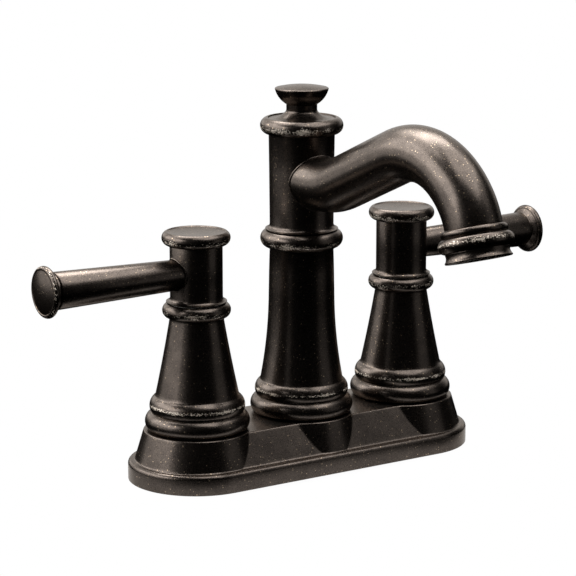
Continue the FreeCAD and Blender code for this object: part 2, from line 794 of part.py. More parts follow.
def mounting_nuts():
    top = -deck_thickness - washer_thickness
    nut = hexagon(nut_across_flats, top - nut_height, top)
    nut = nut.fuse(cylinder(nut_flange_radius, top - nut_flange_height, top))
    nut = nut.cut(cylinder(shank_radius + thread_clearance, top - nut_height - 1, top + 1))
    return Part.makeCompound([moved(nut, x=x) for x in pillar_axes.values()])


def save(name, shape):
    solids = shape.Solids
    result = solids[0] if len(solids) == 1 else Part.makeCompound(solids)
    result.exportStep("parts/%s.step" % name)


os.makedirs("parts", exist_ok=True)

save("deck_plate", deck_plate())
save("deck_gasket", deck_gasket())
save("centre_body", centre_body())
save("tower_base", tower_base())
save("tower_body", tower_body())
save("tower_roof", tower_roof())
save("rod_bush", rod_bush())
save("lift_rod", lift_rod())
save("lift_knob", lift_knob())
save("spout", spout())
save("supply_tube", supply_tube())
save("outlet_plug", outlet_plug())
save("aerator_gasket", aerator_gasket())
save("aerator_shell", aerator_shell())
save("aerator_insert", aerator_insert())
save("aerator_screen", aerator_screen())
save("mounting_washers", mounting_washers())
save("mounting_nuts", mounting_nuts())

for side, axis_x in pillar_axes.items():
    save(side + "_valve_body", valve_body(side))
    save(side + "_cross_tube", cross_tube(side))
    save(side + "_handle_pillar", moved(pillar(), x=axis_x))
    save(side + "_glide_ring", moved(glide_ring(), x=axis_x))
    save(side + "_cartridge_housing", moved(cartridge_housing(), x=axis_x))
    save(side + "_seat_seal", moved(seat_seal(), x=axis_x))
    save(side + "_fixed_disc", moved(valve_disc(seal_top), x=axis_x))
    save(side + "_moving_disc", moved(valve_disc(moving_disc_foot), x=axis_x))
    save(side + "_stem", moved(stem(), x=axis_x))
    save(side + "_bonnet_nut", moved(bonnet_nut(), x=axis_x))
    save(side + "_stem_adapter", moved(stem_adapter(), x=axis_x))
    save(side + "_handle_hub", handle_hub(side))
    save(side + "_handle_screw", moved(handle_screw(), x=axis_x))
    save(side + "_handle_cap", moved(handle_cap(), x=axis_x))
    save(side + "_lever", lever(side))
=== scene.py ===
import json
import math

import bmesh
import bpy
from bpy.props import FloatProperty, FloatVectorProperty, PointerProperty
from mathutils import Matrix, Vector


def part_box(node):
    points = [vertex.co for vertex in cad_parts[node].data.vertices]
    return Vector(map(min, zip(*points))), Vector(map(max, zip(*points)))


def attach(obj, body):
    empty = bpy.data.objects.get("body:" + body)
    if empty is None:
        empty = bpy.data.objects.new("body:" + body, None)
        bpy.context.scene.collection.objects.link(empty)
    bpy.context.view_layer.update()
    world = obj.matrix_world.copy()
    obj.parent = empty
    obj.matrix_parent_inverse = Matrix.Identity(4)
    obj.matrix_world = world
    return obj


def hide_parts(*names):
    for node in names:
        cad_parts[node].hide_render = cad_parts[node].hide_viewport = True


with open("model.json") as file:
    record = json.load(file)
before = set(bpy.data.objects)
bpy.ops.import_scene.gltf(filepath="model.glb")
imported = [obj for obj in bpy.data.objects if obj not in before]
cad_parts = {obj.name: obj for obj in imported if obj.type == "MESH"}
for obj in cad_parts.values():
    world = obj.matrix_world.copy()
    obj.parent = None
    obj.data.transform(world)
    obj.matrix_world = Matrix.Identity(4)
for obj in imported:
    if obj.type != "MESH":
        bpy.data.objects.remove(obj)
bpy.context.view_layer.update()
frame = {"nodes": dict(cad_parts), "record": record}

bl_info = {
    "name": "Centerset Basin Faucet",
    "version": (1, 0, 0),
    "blender": (4, 5, 0),
    "location": "3D View > Sidebar > Faucet",
    "description": "Dresses a two-handle centerset basin faucet in oil-rubbed bronze",
    "category": "Add Mesh",
}

MM = 0.001
INCH = 25.4


def level(node, end):
    """Height of a CAD node's foot (0) or top (1) above the deck, in millimetres."""
    return round(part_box(node)[end].z / MM, 2)


# Where the pieces meet, in millimetres; the handle axes of a centerset stand 4 inches apart
HALF_SPACING = 4 * INCH / 2
PILLAR_AXES = {"left": -HALF_SPACING, "right": HALF_SPACING}
PEDESTAL_TOP = level("tower_base", 0)
PILLAR_TOP = level("left_handle_pillar", 1)
HUB_FOOT, HUB_TOP = level("left_handle_hub", 0), level("left_handle_hub", 1)
LEVER_AXIS = HUB_FOOT + 11.95
CAP_FOOT = level("left_handle_cap", 0)
TOWER_JOINT = level("tower_base", 1)
SPIGOT_FOOT, TOWER_TOP = level("tower_body", 0), level("tower_body", 1)
ROOF_FOOT, ROOF_TOP = level("tower_roof", 0), level("tower_roof", 1)
COLLAR_LENGTH = 8.6
FOOT_BORE = 12.0  # radius of the hollow in the feet of the three columns
SHY = 0.02  # how far a piece's end stays clear of the face it meets


# Small tools

def srgb(hex_colour):
    """The linear colour of an sRGB hex value."""
    channels = [int(hex_colour[i:i + 2], 16) / 255 for i in (1, 3, 5)]
    return [c / 12.92 if c <= 0.04045 else ((c + 0.055) / 1.055) ** 2.4 for c in channels] + [1.0]


def add(tree, kind, inputs=None, **settings):
    """Adds a node; each input is a value, the socket that feeds it, or a node for its first socket."""
    node = tree.nodes.new(kind)
    for name, value in settings.items():
        setattr(node, name, value)
    for key, value in (inputs or {}).items():
        if isinstance(value, bpy.types.Node):
            value = value.outputs[0]
        if isinstance(value, bpy.types.NodeSocket):
            tree.links.new(value, node.inputs[key])
        else:
            node.inputs[key].default_value = value
    return node


class Profile:
    """The half section of a turned piece: points of radius, height and wear, in millimetres."""

    def __init__(self, radius, height):
        self.points = [(radius, height, 0.0)]

    def line(self, radius, height, wear=0.0):
        self.points.append((radius, height, wear))
        return self

    def close(self):
        """Back to the first point."""
        return self.line(*self.points[0])

    def arc(self, mid_radius, mid_height, radius, height, wear=0.0, peak=0.42, spread=0.2, steps=18):
        """An arc through the middle point; its wear is strongest at the given share of its way."""
        a = Vector(self.points[-1][:2])
        b = Vector((mid_radius, mid_height))
        c = Vector((radius, height))
        ab, ac = b - a, c - a
        double = 2 * (ab.x * ac.y - ab.y * ac.x)
        centre = a + Vector((ac.y * ab.length_squared - ab.y * ac.length_squared,
                             ab.x * ac.length_squared - ac.x * ab.length_squared)) / double
        first = math.atan2(a.y - centre.y, a.x - centre.x)
        last = math.atan2(c.y - centre.y, c.x - centre.x)
        turn = (last - first) % (2 * math.pi)
        if double < 0:
            turn -= 2 * math.pi
        reach = (a - centre).length
        for i in range(1, steps + 1):
            share = i / steps
            angle = first + turn * share
            worn = wear * math.exp(-((share - peak) / spread) ** 2)
            self.points.append((centre.x + reach * math.cos(angle),
                                centre.y + reach * math.sin(angle), worn))
        return self

    def dome(self, rise, steps=10):
        """A shallow dome or dish up to the axis, square to it there."""
        radius, height, _ = self.points[-1]
        reach = (radius ** 2 + rise ** 2) / (2 * rise)
        whole = math.asin(radius / reach)
        for i in range(1, steps + 1):
            angle = whole * (1 - i / steps)
            self.points.append((max(0.0, reach * math.sin(angle)),
                                height + rise - reach * (1 - math.cos(angle)), 0.0))
        return self

    def softened(self, size=0.22, sharp=0.5):
        """The same points with every corner that turns by more than sharp cut to a small round."""
        soft = [self.points[0]]
        for before, here, after in zip(self.points, self.points[1:], self.points[2:]):
            a, b, c = (Vector(p[:2]) for p in (before, here, after))
            if (b - a).length < 1e-6 or (c - b).length < 1e-6 or (b - a).angle(c - b) < sharp:
                soft.append(here)
                continue
            near = min(size, (b - a).length * 0.4)
            far = min(size, (c - b).length * 0.4)
            start = b + (a - b).normalized() * near
            end = b + (c - b).normalized() * far
            middle = b * 0.5 + (start + end) * 0.25
            soft += [(*p, here[2]) for p in (start, middle, end)]
        return soft + [self.points[-1]]


def new_tree(name, sockets):
    """A Geometry Nodes tree with named inputs and the piece as its output, and its input sockets."""
    tree = bpy.data.node_groups.new(name, "GeometryNodeTree")
    for label, kind in sockets.items():
        tree.interface.new_socket(label, in_out="INPUT", socket_type="NodeSocket" + kind)
    tree.interface.new_socket("Piece", in_out="OUTPUT", socket_type="NodeSocketGeometry")
    return tree, add(tree, "NodeGroupInput").outputs


def end_tree(tree, geometry, material):
    """Ends a tree with real geometry that carries its material."""
    real = add(tree, "GeometryNodeRealizeInstances", {"Geometry": geometry})
    dressed = add(tree, "GeometryNodeSetMaterial", {"Geometry": real, "Material": material})
    add(tree, "NodeGroupOutput", {"Piece": dressed})
    return tree


def turned_tree():
    """Geometry Nodes: turns the profile's points about +Z into a closed skin that keeps their wear."""
    tree, given = new_tree("turned_piece", {"Profile": "Geometry", "Segments": "Int", "Material": "Material"})
    profile, segments = given["Profile"], given["Segments"]
    rows = add(tree, "GeometryNodeAttributeDomainSize", {"Geometry": profile}).outputs["Point Count"]
    columns = add(tree, "ShaderNodeMath", {0: segments, 1: 1.0}, operation="ADD")
    grid = add(tree, "GeometryNodeMeshGrid", {"Vertices X": columns, "Vertices Y": rows})
    index = add(tree, "GeometryNodeInputIndex")
    row = add(tree, "ShaderNodeMath", {0: index, 1: rows}, operation="MODULO")
    share = add(tree, "ShaderNodeMath", {0: index, 1: rows}, operation="DIVIDE")
    column = add(tree, "ShaderNodeMath", {0: share}, operation="FLOOR")
    part = add(tree, "ShaderNodeMath", {0: column, 1: segments}, operation="DIVIDE")
    angle = add(tree, "ShaderNodeMath", {0: part, 1: 2 * math.pi}, operation="MULTIPLY")
    place = add(tree, "GeometryNodeInputPosition")
    point = add(tree, "GeometryNodeSampleIndex", {"Geometry": profile, "Value": place, "Index": row},
                data_type="FLOAT_VECTOR")
    split = add(tree, "ShaderNodeSeparateXYZ", {0: point})
    cosine = add(tree, "ShaderNodeMath", {0: angle}, operation="COSINE")
    sine = add(tree, "ShaderNodeMath", {0: angle}, operation="SINE")
    across = add(tree, "ShaderNodeMath", {0: split, 1: cosine}, operation="MULTIPLY")
    along = add(tree, "ShaderNodeMath", {0: split, 1: sine}, operation="MULTIPLY")
    swung = add(tree, "ShaderNodeCombineXYZ", {0: across, 1: along, 2: split.outputs[2]})
    written = add(tree, "GeometryNodeInputNamedAttribute", {"Name": "wear"}, data_type="FLOAT")
    wear = add(tree, "GeometryNodeSampleIndex",
               {"Geometry": profile, "Value": written, "Index": row}, data_type="FLOAT")
    kept = add(tree, "GeometryNodeStoreNamedAttribute",
               {"Geometry": grid.outputs["Mesh"], "Name": "wear", "Value": wear},
               data_type="FLOAT", domain="POINT")
    bent = add(tree, "GeometryNodeSetPosition", {"Geometry": kept, "Position": swung})
    closed = add(tree, "GeometryNodeMergeByDistance", {"Geometry": bent, "Distance": 0.0005 * MM})
    return end_tree(tree, closed, given["Material"])


def swept_tree():
    """Geometry Nodes: draws a round bar along a chain of points."""
    tree, given = new_tree("swept_bar", {"Path": "Geometry", "Radius": "Float", "Sides": "Int",
                                         "Material": "Material"})
    path = add(tree, "GeometryNodeMeshToCurve", {"Mesh": given["Path"]})
    circle = add(tree, "GeometryNodeCurvePrimitiveCircle",
                 {"Resolution": given["Sides"], "Radius": given["Radius"]})
    bar = add(tree, "GeometryNodeCurveToMesh",
              {"Curve": path, "Profile Curve": circle, "Fill Caps": True})
    return end_tree(tree, bar, given["Material"])


def grown(name, make_tree, points, wear, closed=False, **inputs):
    """Runs a Geometry Nodes tree on a chain of points in millimetres and returns the plain mesh."""
    edges = [(i, i + 1) for i in range(len(points) - 1)]
    if closed:
        edges.append((len(points) - 1, 0))
    chain = bpy.data.meshes.new("chain")
    chain.from_pydata([Vector(p) * MM for p in points], edges, [])
    chain.attributes.new("wear", "FLOAT", "POINT").data.foreach_set("value", wear)
    carrier = bpy.data.objects.new("carrier", chain)
    bpy.context.scene.collection.objects.link(carrier)
    modifier = carrier.modifiers.new("grow", "NODES")
    modifier.node_group = bpy.data.node_groups.get(name) or make_tree()
    for item in modifier.node_group.interface.items_tree:
        if item.in_out == "INPUT" and item.name in inputs:
            modifier[item.identifier] = inputs[item.name]
    evaluated = carrier.evaluated_get(bpy.context.evaluated_depsgraph_get())
    mesh = bpy.data.meshes.new_from_object(evaluated)
    carrier.modifiers.remove(modifier)
    bpy.data.objects.remove(carrier)
    return mesh


def turned(profile, x=0.0, place=None, segments=128):
    """A piece turned from its profile, at a pillar's axis or laid where the matrix says."""
    points = profile.softened()
    mesh = grown("turned_piece", turned_tree, [(radius, 0.0, height) for radius, height, _ in points],
                 [wear for _, _, wear in points], Segments=segments, Material=finish_of("bronze_finish"))
    mesh.transform(place if place else Matrix.Translation((x * MM, 0, 0)))
    return mesh


def swept(points, radius, sides, closed=False, slot="bronze_finish"):
    """A round bar along points in millimetres."""
    return grown("swept_bar", swept_tree, points, [0.0] * len(points), closed,
                 Radius=radius * MM, Sides=sides, Material=finish_of(slot))


def lofted(loops, wear):
    """A closed skin through loops of points in millimetres, with one wear value for each loop."""
    count = len(loops[0])
    points = [Vector(p) * MM for loop in loops for p in loop]
    faces = []
    for low in range(0, len(points) - count, count):
        for i in range(count):
            j = (i + 1) % count
            faces.append((low + i, low + j, low + count + j, low + count + i))
    faces.append(tuple(reversed(range(count))))
    faces.append(tuple(range(len(points) - count, len(points))))
    mesh = bpy.data.meshes.new("loft")
    mesh.from_pydata(points, [], faces)
    values = [w for w in wear for _ in range(count)]
    mesh.attributes.new("wear", "FLOAT", "POINT").data.foreach_set("value", values)
    mesh.materials.append(finish_of("bronze_finish"))
    return mesh


def ring(size, steps, first=0.0, last=2 * math.pi):
    """Points on a circle from the first angle up to, but without, the last."""
    angles = [first + (last - first) * i / steps for i in range(steps)]
    return [(size * math.cos(angle), size * math.sin(angle)) for angle in angles]


def piece(name, meshes, body, nodes, slot="bronze_finish", sharp=32):
    """Joins meshes into one finished piece that stands for CAD nodes and rides on a body."""
    joined = bmesh.new()
    for mesh in meshes:
        joined.from_mesh(mesh)
    bmesh.ops.recalc_face_normals(joined, faces=joined.faces)
    whole = bpy.data.meshes.new(name)
    joined.to_mesh(whole)
    joined.free()
    whole.materials.append(finish_of(slot))
    whole.polygons.foreach_set("material_index", [0] * len(whole.polygons))
    whole.polygons.foreach_set("use_smooth", [True] * len(whole.polygons))
    whole.set_sharp_from_angle(angle=math.radians(sharp))
    for mesh in meshes:
        bpy.data.meshes.remove(mesh)
    made = bpy.data.objects.new(name, whole)
    bpy.context.scene.collection.objects.link(made)
    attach(made, body)
    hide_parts(*nodes)
    return made


# Finishes: a noise scale is a number of cells for each millimetre

def new_material(name):
    material = bpy.data.materials.new(name)
    material.use_nodes = True
    material.node_tree.nodes.clear()
    return material, material.node_tree


def bronze(name):
    """Oil-rubbed bronze: cast and turned brass under a dark chemical patina, rubbed with oil.

    The patina is a warm near-black with a satin sheen; fine copper flecks show all over, and
    rubbing has bared ragged crumbs of lighter metal along the crests of the beads.
    """
    colours = bpy.context.scene.faucet_finish
    material, tree = new_material(name)
    where = add(tree, "ShaderNodeTexCoord").outputs["Object"]
    # Clouds of patina about 6 mm across with a grain of 0.5 mm in them
    cloud = add(tree, "ShaderNodeTexNoise", {"Vector": where, "Scale": 0.16 / MM, "Detail": 2.0})
    grain = add(tree, "ShaderNodeTexNoise", {"Vector": where, "Scale": 2.0 / MM, "Detail": 2.0})
    depth = add(tree, "ShaderNodeMath", {0: cloud, 1: 0.6, 2: grain}, operation="MULTIPLY_ADD")
    tone = add(tree, "ShaderNodeMapRange", {"Value": depth, "From Min": 0.6, "From Max": 1.0})
    patina = add(tree, "ShaderNodeMix", {"Factor": tone, 6: [*colours.patina_dark, 1],
                                         7: [*colours.patina_light, 1]}, data_type="RGBA")
    # Flecks: four in five cells of a 1.1 mm mesh carry one, up to 0.6 mm across; the real ones are
    # about half that and are drawn larger so that they show
    cells = add(tree, "ShaderNodeTexVoronoi", {"Vector": where, "Scale": 1.0 / (1.1 * MM)})
    chosen = add(tree, "ShaderNodeSeparateColor", {"Color": cells.outputs["Color"]})
    size = add(tree, "ShaderNodeMapRange", {"Value": chosen, "From Min": 0.2, "From Max": 1.0,
                                            "To Min": 0.0, "To Max": 0.28})
    gap = add(tree, "ShaderNodeMath", {0: size, 1: cells.outputs["Distance"]}, operation="SUBTRACT")
    fleck = add(tree, "ShaderNodeMapRange", {"Value": gap, "From Min": 0.0, "From Max": 0.12})
    # Worn crests: crumbs of 0.5 mm in patches of 7 mm, denser where the wear attribute is high
    worn = add(tree, "ShaderNodeAttribute", attribute_name="wear", attribute_type="GEOMETRY")
    crumb = add(tree, "ShaderNodeTexNoise", {"Vector": where, "Scale": 1.9 / MM, "Detail": 2.0})
    patch = add(tree, "ShaderNodeTexNoise", {"Vector": where, "Scale": 0.15 / MM, "Detail": 1.0})
    ragged = add(tree, "ShaderNodeMath", {0: crumb, 1: 1.5, 2: patch}, operation="MULTIPLY_ADD")
    rubbed = add(tree, "ShaderNodeMath", {0: worn.outputs["Fac"], 1: 0.7, 2: ragged},
                 operation="MULTIPLY_ADD")
    bare = add(tree, "ShaderNodeMapRange", {"Value": rubbed, "From Min": 1.93, "From Max": 2.03})
    flecked = add(tree, "ShaderNodeMix", {"Factor": fleck, 6: patina.outputs[2],
                                          7: [*colours.fleck, 1]}, data_type="RGBA")
    colour = add(tree, "ShaderNodeMix", {"Factor": bare, 6: flecked.outputs[2],
                                         7: [*colours.bare_metal, 1]}, data_type="RGBA")
    # Bared metal is crumbled and scatters, so it shows as tan from every side
    dulled = add(tree, "ShaderNodeMath", {0: fleck, 1: 0.3}, operation="MULTIPLY")
    matt = add(tree, "ShaderNodeMath", {0: dulled, 1: bare}, operation="MAXIMUM")
    metallic = add(tree, "ShaderNodeMapRange", {"Value": matt, "To Min": 1.0, "To Max": 0.3})
    rough = add(tree, "ShaderNodeMapRange", {"Value": grain, "To Min": 0.25, "To Max": 0.31})
    sunk = add(tree, "ShaderNodeMath", {0: bare, 1: -0.6, 2: grain}, operation="MULTIPLY_ADD")
    bump = add(tree, "ShaderNodeBump", {"Height": sunk, "Strength": 0.15, "Distance": 0.04 * MM})
    shader = add(tree, "ShaderNodeBsdfPrincipled", {
        "Base Color": colour.outputs[2], "Metallic": metallic, "Roughness": rough,
        "Specular Tint": [*colours.edge_tint, 1], "Normal": bump})
    add(tree, "ShaderNodeOutputMaterial", {"Surface": shader})
    return material


def machined_brass(name):
    """Free-cutting brass as it leaves the lathe: bright yellow with fine turning marks.

    Below the deck it shows the pipe thread of the shanks, 14 turns to the inch.
    """
    pitch = INCH / 14
    material, tree = new_material(name)
    where = add(tree, "ShaderNodeTexCoord").outputs["Object"]
    height = add(tree, "ShaderNodeSeparateXYZ", {0: where}).outputs[2]
    lathe = add(tree, "ShaderNodeTexNoise", {"Vector": height, "Scale": 9.0 / MM, "Detail": 1.0})
    turns = add(tree, "ShaderNodeMath", {0: height, 1: 2 * math.pi / (pitch * MM)}, operation="MULTIPLY")
    ridge = add(tree, "ShaderNodeMath", {0: turns}, operation="SINE")
    below = add(tree, "ShaderNodeMath", {0: height, 1: -0.5 * MM}, operation="LESS_THAN")
    thread = add(tree, "ShaderNodeMath", {0: ridge, 1: below}, operation="MULTIPLY")
    relief = add(tree, "ShaderNodeMath", {0: lathe, 1: 0.08, 2: thread}, operation="MULTIPLY_ADD")
    bump = add(tree, "ShaderNodeBump", {"Height": relief, "Strength": 0.8, "Distance": 0.35 * MM})
    tone = add(tree, "ShaderNodeValToRGB", {"Fac": lathe})
    tone.color_ramp.elements[0].color = srgb("#b8923f")
    tone.color_ramp.elements[1].color = srgb("#dcbc6c")
    shader = add(tree, "ShaderNodeBsdfPrincipled", {
        "Base Color": tone, "Metallic": 1.0, "Roughness": 0.28, "Normal": bump})
    add(tree, "ShaderNodeOutputMaterial", {"Surface": shader})
    return material


def grained(name, dark, light, grain_mm, metallic, rough_low, rough_high, relief_mm):
    """A plain finish with fine grain: two tones, a roughness range and a shallow relief."""
    material, tree = new_material(name)
    where = add(tree, "ShaderNodeTexCoord").outputs["Object"]
    grain = add(tree, "ShaderNodeTexNoise", {"Vector": where, "Scale": 1.0 / (grain_mm * MM), "Detail": 3.0})
    tone = add(tree, "ShaderNodeValToRGB", {"Fac": grain})
    tone.color_ramp.elements[0].color = srgb(dark)
    tone.color_ramp.elements[1].color = srgb(light)
    rough = add(tree, "ShaderNodeMapRange", {"Value": grain, "To Min": rough_low, "To Max": rough_high})
    bump = add(tree, "ShaderNodeBump", {"Height": grain, "Strength": 0.4, "Distance": relief_mm * MM})
    shader = add(tree, "ShaderNodeBsdfPrincipled", {
        "Base Color": tone, "Metallic": metallic, "Roughness": rough, "Normal": bump})
    add(tree, "ShaderNodeOutputMaterial", {"Surface": shader})
    return material


FINISHES = {
    "bronze_finish": ("oil_rubbed_bronze", bronze),
    "raw_brass": ("machined_brass", machined_brass),
    # Drawn copper tube: warm orange metal, slightly tarnished in clouds
    "copper": ("drawn_copper", grained, "#a8613f", "#d08a62", 1.5, 1.0, 0.25, 0.4, 0.01),
    # Rolled stainless sheet and wire: grey metal with a fine even sheen
    "stainless": ("rolled_stainless", grained, "#8f8f8d", "#b6b6b3", 0.4, 1.0, 0.25, 0.38, 0.01),
    # Lapped alumina: off-white ceramic, almost a mirror
    "ceramic": ("lapped_alumina", grained, "#e6e3dc", "#f4f2ee", 0.3, 0.0, 0.12, 0.2, 0.003),
    # Moulded acetal: ivory plastic, waxy and matt
    "white_plastic": ("moulded_acetal", grained, "#d9d6cd", "#e8e6df", 0.8, 0.0, 0.4, 0.5, 0.01),
    # Moulded EPDM rubber: near-black and dull with a fine tooth
    "black_rubber": ("moulded_rubber", grained, "#141414", "#222120", 0.5, 0.0, 0.6, 0.75, 0.03),
}


def finish_of(slot):
    """The material of a slot, made when it is first asked for."""
    name, make, *look = FINISHES[slot]
    return bpy.data.materials.get(name) or make(name, *look)


# Sizes and colours that a user would change

class FaucetPlate(bpy.types.PropertyGroup):
    radius: FloatProperty(name="End radius", description="Radius of the plate's round ends",
                          default=28.4 * MM, min=0.02, unit="LENGTH")
    plinth: FloatProperty(name="Plinth height", description="Height of the plate's vertical edge",
                          default=8.0 * MM, min=0.004, unit="LENGTH")
    pedestal: FloatProperty(name="Pedestal radius", description="Radius of a pedestal's top",
                            default=21.9 * MM, min=0.01, unit="LENGTH")
    web: FloatProperty(name="Web half width", description="Half the width of the web's flat top",
                       default=17.5 * MM, min=0.005, unit="LENGTH")
    blend: FloatProperty(name="Corner blend", description="Hollow radius where the web meets a pedestal",
                         default=3.0 * MM, min=0.0005, unit="LENGTH")


class FaucetHandles(bpy.types.PropertyGroup):
    hub: FloatProperty(name="Hub radius", description="Radius of the turning hub",
                       default=10.63 * MM, min=0.005, unit="LENGTH")
    root: FloatProperty(name="Lever root radius", description="Radius of the lever where it leaves the hub",
                        default=6.15 * MM, min=0.002, unit="LENGTH")
    tip: FloatProperty(name="Lever tip radius", description="Radius of the lever behind its disc",
                       default=7.5 * MM, min=0.002, unit="LENGTH")
    reach: FloatProperty(name="Lever reach", description="From the hub's axis to the disc's widest edge",
                         default=68.1 * MM, min=0.03, unit="LENGTH")
    disc: FloatProperty(name="Disc radius", description="Radius of the disc at the lever's end",
                        default=10.3 * MM, min=0.004, unit="LENGTH")


class FaucetTower(bpy.types.PropertyGroup):
    drum: FloatProperty(name="Drum radius", description="Radius of the tower below its top ring",
                        default=13.5 * MM, min=0.008, unit="LENGTH")
    bead: FloatProperty(name="Ring bead", description="How far the tower's rings stand out",
                        default=3.5 * MM, min=0.001, unit="LENGTH")
    knob: FloatProperty(name="Knob radius", description="Radius of the lift knob's bowl",
                        default=10.95 * MM, min=0.006, unit="LENGTH")


class FaucetSpout(bpy.types.PropertyGroup):
    height: FloatProperty(name="Root height", description="Height of the spout's axis at the tower",
                          default=118.1 * MM, min=0.05, unit="LENGTH")
    radius: FloatProperty(name="Tube radius", description="Outside radius of the spout",
                          default=11.0 * MM, min=0.004, unit="LENGTH")
    rise: FloatProperty(name="Rise", description="Slope of the spout's straight run",
                        default=math.radians(23.2), subtype="ANGLE")
    lean: FloatProperty(name="Outlet lean", description="Angle between the outlet's axis and the vertical",
                        default=math.radians(17.0), subtype="ANGLE")
    turn: FloatProperty(name="Outlet turn", description="How far the tighter bend before the outlet turns",
                        default=math.radians(20.2), subtype="ANGLE")


class FaucetFinish(bpy.types.PropertyGroup):
    patina_dark: FloatVectorProperty(name="Dark patina", description="Deepest tone of the patina",
                                     subtype="COLOR", default=srgb("#423c38")[:3], min=0, max=1)
    patina_light: FloatVectorProperty(name="Light patina", description="Lightest tone of the patina",
                                      subtype="COLOR", default=srgb("#58504a")[:3], min=0, max=1)
    fleck: FloatVectorProperty(name="Flecks", description="Copper flecks in the patina",
                               subtype="COLOR", default=srgb("#a8957f")[:3], min=0, max=1)
    bare_metal: FloatVectorProperty(name="Bare metal", description="Metal bared by rubbing on the beads",
                                    subtype="COLOR", default=srgb("#e6d9c9")[:3], min=0, max=1)
    edge_tint: FloatVectorProperty(name="Edge tint", description="Tint of the finish at a glancing angle",
                                   subtype="COLOR", default=srgb("#f1ece7")[:3], min=0, max=1)


class FaucetStage(bpy.types.PropertyGroup):
    floor: FloatVectorProperty(name="Floor", description="Colour of the paper that the faucet stands on",
                               subtype="COLOR", default=srgb("#f2f2f2")[:3], min=0, max=1)
    paper_glow: FloatProperty(name="Floor glow", description="How little of the shadow the floor shows",
                              default=0.92, min=0, max=1)
    room: FloatProperty(name="Room light", description="Level of the dark room in front of the faucet",
                        default=0.01, min=0)
    lens: FloatProperty(name="Lens", description="Focal length on a 36 mm sensor, in millimetres",
                        default=152.31, min=20)
    rear: FloatProperty(name="Rear light", description="Power of the softbox above and behind",
                        default=11.0, min=0, unit="POWER")
    left: FloatProperty(name="Left light", description="Power of the large softbox on the left",
                        default=16.0, min=0, unit="POWER")
    right: FloatProperty(name="Right light", description="Power of the high softbox on the right",
                         default=2.8, min=0, unit="POWER")
    strip: FloatProperty(name="Strip light", description="Power of the narrow strip light on the left",
                         default=0.22, min=0, unit="POWER")
    spout: FloatProperty(name="Spout light", description="Power of the small softbox by the spout's arch",
                         default=2.2, min=0, unit="POWER")


# Pieces

def beaded_foot(plate):
    """Starts a column: its open foot and two beads, the upper one's crest rubbed bare.

    Returns the profile, the radius of the upper bead's shoulder and the height where the shaft starts.
    """
    edge = plate.radius / MM
    lower = PEDESTAL_TOP + 7.3
    upper = lower + 6.5
    shoulder = edge - 11.1
    profile = Profile(FOOT_BORE, PEDESTAL_TOP + 0.05).line(edge - 8.8, PEDESTAL_TOP)
    profile.arc(edge - 7.1, lower - 4.23, edge - 9.7, lower, wear=0.15)
    profile.arc(edge - 9.0, upper - 3.77, shoulder, upper, wear=1.05, peak=0.46, spread=0.14)
    return profile, shoulder, upper + 0.5


class FAUCET_OT_deck_plate(bpy.types.Operator):
    """Deck plate: a stadium plinth, three pedestals and the sloping web between them"""
    bl_idname = "faucet.deck_plate"
    bl_label = "Deck Plate"

    def crown(self, radius, web, blend):
        """The outline of the pedestals and web at one level, with hollow corners."""
        corner = math.asin((web + blend) / (radius + blend))
        shift = (radius + blend) * math.cos(corner)
        bulges = [(HALF_SPACING, 0, math.pi - corner, 36), (0, corner, math.pi - corner, 24),
                  (-HALF_SPACING, corner, math.pi, 36)]
        half = []
        for middle, first, last, steps in bulges:
            if half:
                half += [(middle + shift + x, web + blend + y)
                         for x, y in ring(blend, 6, -math.pi / 2, corner - math.pi)]
            half += [(middle + x, y) for x, y in ring(radius, steps, first, last)]
            if middle > -HALF_SPACING:
                half += [(middle - shift + x, web + blend + y)
                         for x, y in ring(blend, 6, -corner, -math.pi / 2)]
        return half + [(-x, -y) for x, y in half]

    def stadium(self, radius):
        """The plinth's outline: two round ends joined by straight sides."""
        half = [(HALF_SPACING + radius * math.sin(math.pi * i / 48), -radius * math.cos(math.pi * i / 48))
                for i in range(49)]
        return half + [(-x, -y) for x, y in half]

    def execute(self, context):
        sizes = context.scene.faucet_plate
        radius, plinth, pedestal, web, blend = (
            v / MM for v in (sizes.radius, sizes.plinth, sizes.pedestal, sizes.web, sizes.blend))
        wall, hollow, nick = 2.2, 2.6, 0.15
        edge, fillet, rim = 1.8, 0.7, 0.5
        flare, slope = 0.297, 0.6
        quarter = [math.pi / 2 * i / 6 for i in range(7)]
        section = [(radius - wall, hollow, 0), (radius - wall, nick, 0), (radius - wall + nick, 0, 0),
                   (radius - nick, 0, 0.2), (radius, nick, 0.2), (radius, 1.0, 0), (radius, plinth - edge, 0)]
        section += [(radius - edge * (1 - math.cos(a)), plinth - edge * (1 - math.sin(a)), 0.15)
                    for a in quarter[1:]]
        base = lofted([[(x, y, z) for x, y in self.stadium(r)] for r, z, _ in section],
                      [wear for _, _, wear in section])
        # Each level of the crown: its height, how far it stands out, its wear
        foot, shoulder = plinth + 1.6, PEDESTAL_TOP - rim
        levels = [(plinth - 0.8, fillet, 0)]
        levels += [(plinth + fillet * (1 - math.cos(a)), fillet * (1 - math.sin(a)), 0.2) for a in quarter]
        levels += [(foot + (shoulder - foot) * i / 5, 0, 0) for i in range(5)]
        levels += [(PEDESTAL_TOP - 2 * rim, 0, 0)]
        levels += [(PEDESTAL_TOP - rim * (1 - math.sin(a)), -rim * (1 - math.cos(a)), 0.25) for a in quarter]
        loops = []
        for z, offset, _ in levels:
            fall = PEDESTAL_TOP - z
            outline = self.crown(pedestal + flare * fall + offset, web + slope * fall + offset, blend)
            loops.append([(x, y, z) for x, y in outline])
        crown = lofted(loops, [wear for _, _, wear in levels])
        piece("deck_plate_casting", [base, crown], "base", ["deck_plate"])
        return {"FINISHED"}


